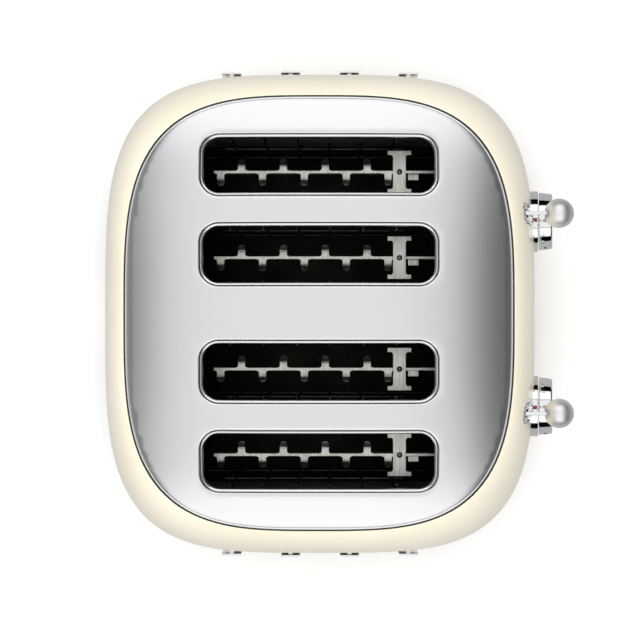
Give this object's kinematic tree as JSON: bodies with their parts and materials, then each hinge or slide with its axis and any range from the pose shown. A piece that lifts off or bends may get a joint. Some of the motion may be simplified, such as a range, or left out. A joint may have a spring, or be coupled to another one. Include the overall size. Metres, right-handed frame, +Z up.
{
  "type": "pop up toaster",
  "caption": "Retro pop-up toaster with a rounded cream body, a domed satin steel top with bread slots, and chrome levers, dials and buttons on one end.",
  "frame": {"origin": "centre of the whole toaster's footprint, on the surface that the feet stand on", "axes": "+X towards the end with the levers and dials, along the bread slots; +Y across the slots; +Z up"},
  "size_m": [0.317, 0.3438, 0.214],
  "materials": {
    "cream_paint": "glossy cream enamel on pressed steel",
    "satin_steel": "satin stainless steel sheet",
    "tray_steel": "plain stainless sheet with a satin face",
    "chrome": "polished chrome plating",
    "zinc_steel": "dull galvanised sheet",
    "spring_steel": "drawn steel wire, darkened by heat",
    "mica_board": "pressed mica sheet with a dull sheen",
    "black_rubber": "matt moulded rubber",
    "black_plastic": "matt moulded nylon",
    "circuit_board": "green laminate with components"
  },
  "bodies": {
    "chassis": {"body_shell": "cream_paint", "top_panel": "satin_steel", "panel_seal": "black_rubber", "base_skirt": "chrome", "base_plate": "zinc_steel", "foot_1": "black_rubber", "foot_2": "black_rubber", "foot_3": "black_rubber", "foot_4": "black_rubber", "cord_gland": "black_plastic", "control_end_plate": "zinc_steel", "rear_end_plate": "zinc_steel", "heating_element_1": "mica_board", "heating_element_2": "mica_board", "heating_element_3": "mica_board", "heating_element_4": "mica_board", "heating_element_5": "mica_board", "heating_element_6": "mica_board", "outer_reflector_1": "zinc_steel", "outer_reflector_2": "zinc_steel", "centre_reflector": "zinc_steel", "guide_rod_1": "spring_steel", "return_spring_1": "spring_steel", "lever_frame_1": "chrome", "dial_ring_1": "chrome", "guide_rod_2": "spring_steel", "return_spring_2": "spring_steel", "lever_frame_2": "chrome", "dial_ring_2": "chrome", "control_board": "circuit_board", "trim_strip_1": "chrome", "trim_strip_2": "chrome"},
    "lift_1": {"carriage_1": "zinc_steel", "lever_arm_1": "chrome", "lever_ball_1": "chrome", "bread_rack_1": "zinc_steel", "bread_rack_2": "zinc_steel"},
    "lift_2": {"carriage_2": "zinc_steel", "lever_arm_2": "chrome", "lever_ball_2": "chrome", "bread_rack_3": "zinc_steel", "bread_rack_4": "zinc_steel"},
    "guide_1": {"bread_guide_1": "spring_steel"},
    "guide_2": {"bread_guide_2": "spring_steel"},
    "guide_3": {"bread_guide_3": "spring_steel"},
    "guide_4": {"bread_guide_4": "spring_steel"},
    "guide_5": {"bread_guide_5": "spring_steel"},
    "guide_6": {"bread_guide_6": "spring_steel"},
    "guide_7": {"bread_guide_7": "spring_steel"},
    "guide_8": {"bread_guide_8": "spring_steel"},
    "dial_1": {"dial_knob_1": "chrome"},
    "dial_2": {"dial_knob_2": "chrome"},
    "push_1": {"button_1": "chrome"},
    "push_2": {"button_2": "chrome"},
    "push_3": {"button_3": "chrome"},
    "push_4": {"button_4": "chrome"},
    "push_5": {"button_5": "chrome"},
    "push_6": {"button_6": "chrome"},
    "tray_1": {"crumb_tray_1": "tray_steel"},
    "tray_2": {"crumb_tray_2": "tray_steel"}
  },
  "joints": [
    {"name": "lever_slide_1", "type": "slide", "parent": "chassis", "child": "lift_1", "axis": [0, 0, -1], "range_m": [0, 0.05], "stiffness_N_per_m": 70, "springref_m": -0.09, "deforming": ["return_spring_1"]},
    {"name": "lever_slide_2", "type": "slide", "parent": "chassis", "child": "lift_2", "axis": [0, 0, -1], "range_m": [0, 0.05], "stiffness_N_per_m": 70, "springref_m": -0.09, "deforming": ["return_spring_2"]},
    {"name": "guide_hinge_1", "type": "hinge", "parent": "chassis", "child": "guide_1", "pos_m": [-0.00561, 0.1127, 0.048], "axis": [1, 0, 0], "range_deg": [0, 4.7]},
    {"name": "guide_hinge_2", "type": "hinge", "parent": "chassis", "child": "guide_2", "pos_m": [-0.00561, 0.0717, 0.048], "axis": [-1, 0, 0], "range_deg": [0, 4.7]},
    {"name": "guide_hinge_3", "type": "hinge", "parent": "chassis", "child": "guide_3", "pos_m": [-0.00561, 0.0568, 0.048], "axis": [1, 0, 0], "range_deg": [0, 4.7]},
    {"name": "guide_hinge_4", "type": "hinge", "parent": "chassis", "child": "guide_4", "pos_m": [-0.00561, 0.0158, 0.048], "axis": [-1, 0, 0], "range_deg": [0, 4.7]},
    {"name": "guide_hinge_5", "type": "hinge", "parent": "chassis", "child": "guide_5", "pos_m": [-0.00561, -0.0158, 0.048], "axis": [1, 0, 0], "range_deg": [0, 4.7]},
    {"name": "guide_hinge_6", "type": "hinge", "parent": "chassis", "child": "guide_6", "pos_m": [-0.00561, -0.0568, 0.048], "axis": [-1, 0, 0], "range_deg": [0, 4.7]},
    {"name": "guide_hinge_7", "type": "hinge", "parent": "chassis", "child": "guide_7", "pos_m": [-0.00561, -0.0717, 0.048], "axis": [1, 0, 0], "range_deg": [0, 4.7]},
    {"name": "guide_hinge_8", "type": "hinge", "parent": "chassis", "child": "guide_8", "pos_m": [-0.00561, -0.1127, 0.048], "axis": [-1, 0, 0], "range_deg": [0, 4.7]},
    {"name": "dial_turn_1", "type": "hinge", "parent": "chassis", "child": "dial_1", "pos_m": [0.14285, 0.06425, 0.0842], "axis": [-0.9903, 0, -0.1392], "range_deg": [0, 270]},
    {"name": "dial_turn_2", "type": "hinge", "parent": "chassis", "child": "dial_2", "pos_m": [0.14285, -0.06425, 0.0842], "axis": [-0.9903, 0, -0.1392], "range_deg": [0, 270]},
    {"name": "button_push_1", "type": "slide", "parent": "chassis", "child": "push_1", "axis": [-1, 0, 0], "range_m": [0, 0.0025], "stiffness_N_per_m": 400, "springref_m": -0.002},
    {"name": "button_push_2", "type": "slide", "parent": "chassis", "child": "push_2", "axis": [-1, 0, 0], "range_m": [0, 0.0025], "stiffness_N_per_m": 400, "springref_m": -0.002},
    {"name": "button_push_3", "type": "slide", "parent": "chassis", "child": "push_3", "axis": [-1, 0, 0], "range_m": [0, 0.0025], "stiffness_N_per_m": 400, "springref_m": -0.002},
    {"name": "button_push_4", "type": "slide", "parent": "chassis", "child": "push_4", "axis": [-1, 0, 0], "range_m": [0, 0.0025], "stiffness_N_per_m": 400, "springref_m": -0.002},
    {"name": "button_push_5", "type": "slide", "parent": "chassis", "child": "push_5", "axis": [-1, 0, 0], "range_m": [0, 0.0025], "stiffness_N_per_m": 400, "springref_m": -0.002},
    {"name": "button_push_6", "type": "slide", "parent": "chassis", "child": "push_6", "axis": [-1, 0, 0], "range_m": [0, 0.0025], "stiffness_N_per_m": 400, "springref_m": -0.002},
    {"name": "tray_slide_1", "type": "slide", "parent": "chassis", "child": "tray_1", "axis": [-1, 0, 0], "range_m": [0, 0.2]},
    {"name": "tray_slide_2", "type": "slide", "parent": "chassis", "child": "tray_2", "axis": [-1, 0, 0], "range_m": [0, 0.2]}
  ],
  "couplings": [
    {"joint": "guide_hinge_1", "follows": "lever_slide_1", "rad_per_m": 1.5708},
    {"joint": "guide_hinge_2", "follows": "lever_slide_1", "rad_per_m": 1.5708},
    {"joint": "guide_hinge_3", "follows": "lever_slide_1", "rad_per_m": 1.5708},
    {"joint": "guide_hinge_4", "follows": "lever_slide_1", "rad_per_m": 1.5708},
    {"joint": "guide_hinge_5", "follows": "lever_slide_2", "rad_per_m": 1.5708},
    {"joint": "guide_hinge_6", "follows": "lever_slide_2", "rad_per_m": 1.5708},
    {"joint": "guide_hinge_7", "follows": "lever_slide_2", "rad_per_m": 1.5708},
    {"joint": "guide_hinge_8", "follows": "lever_slide_2", "rad_per_m": 1.5708}
  ]
}
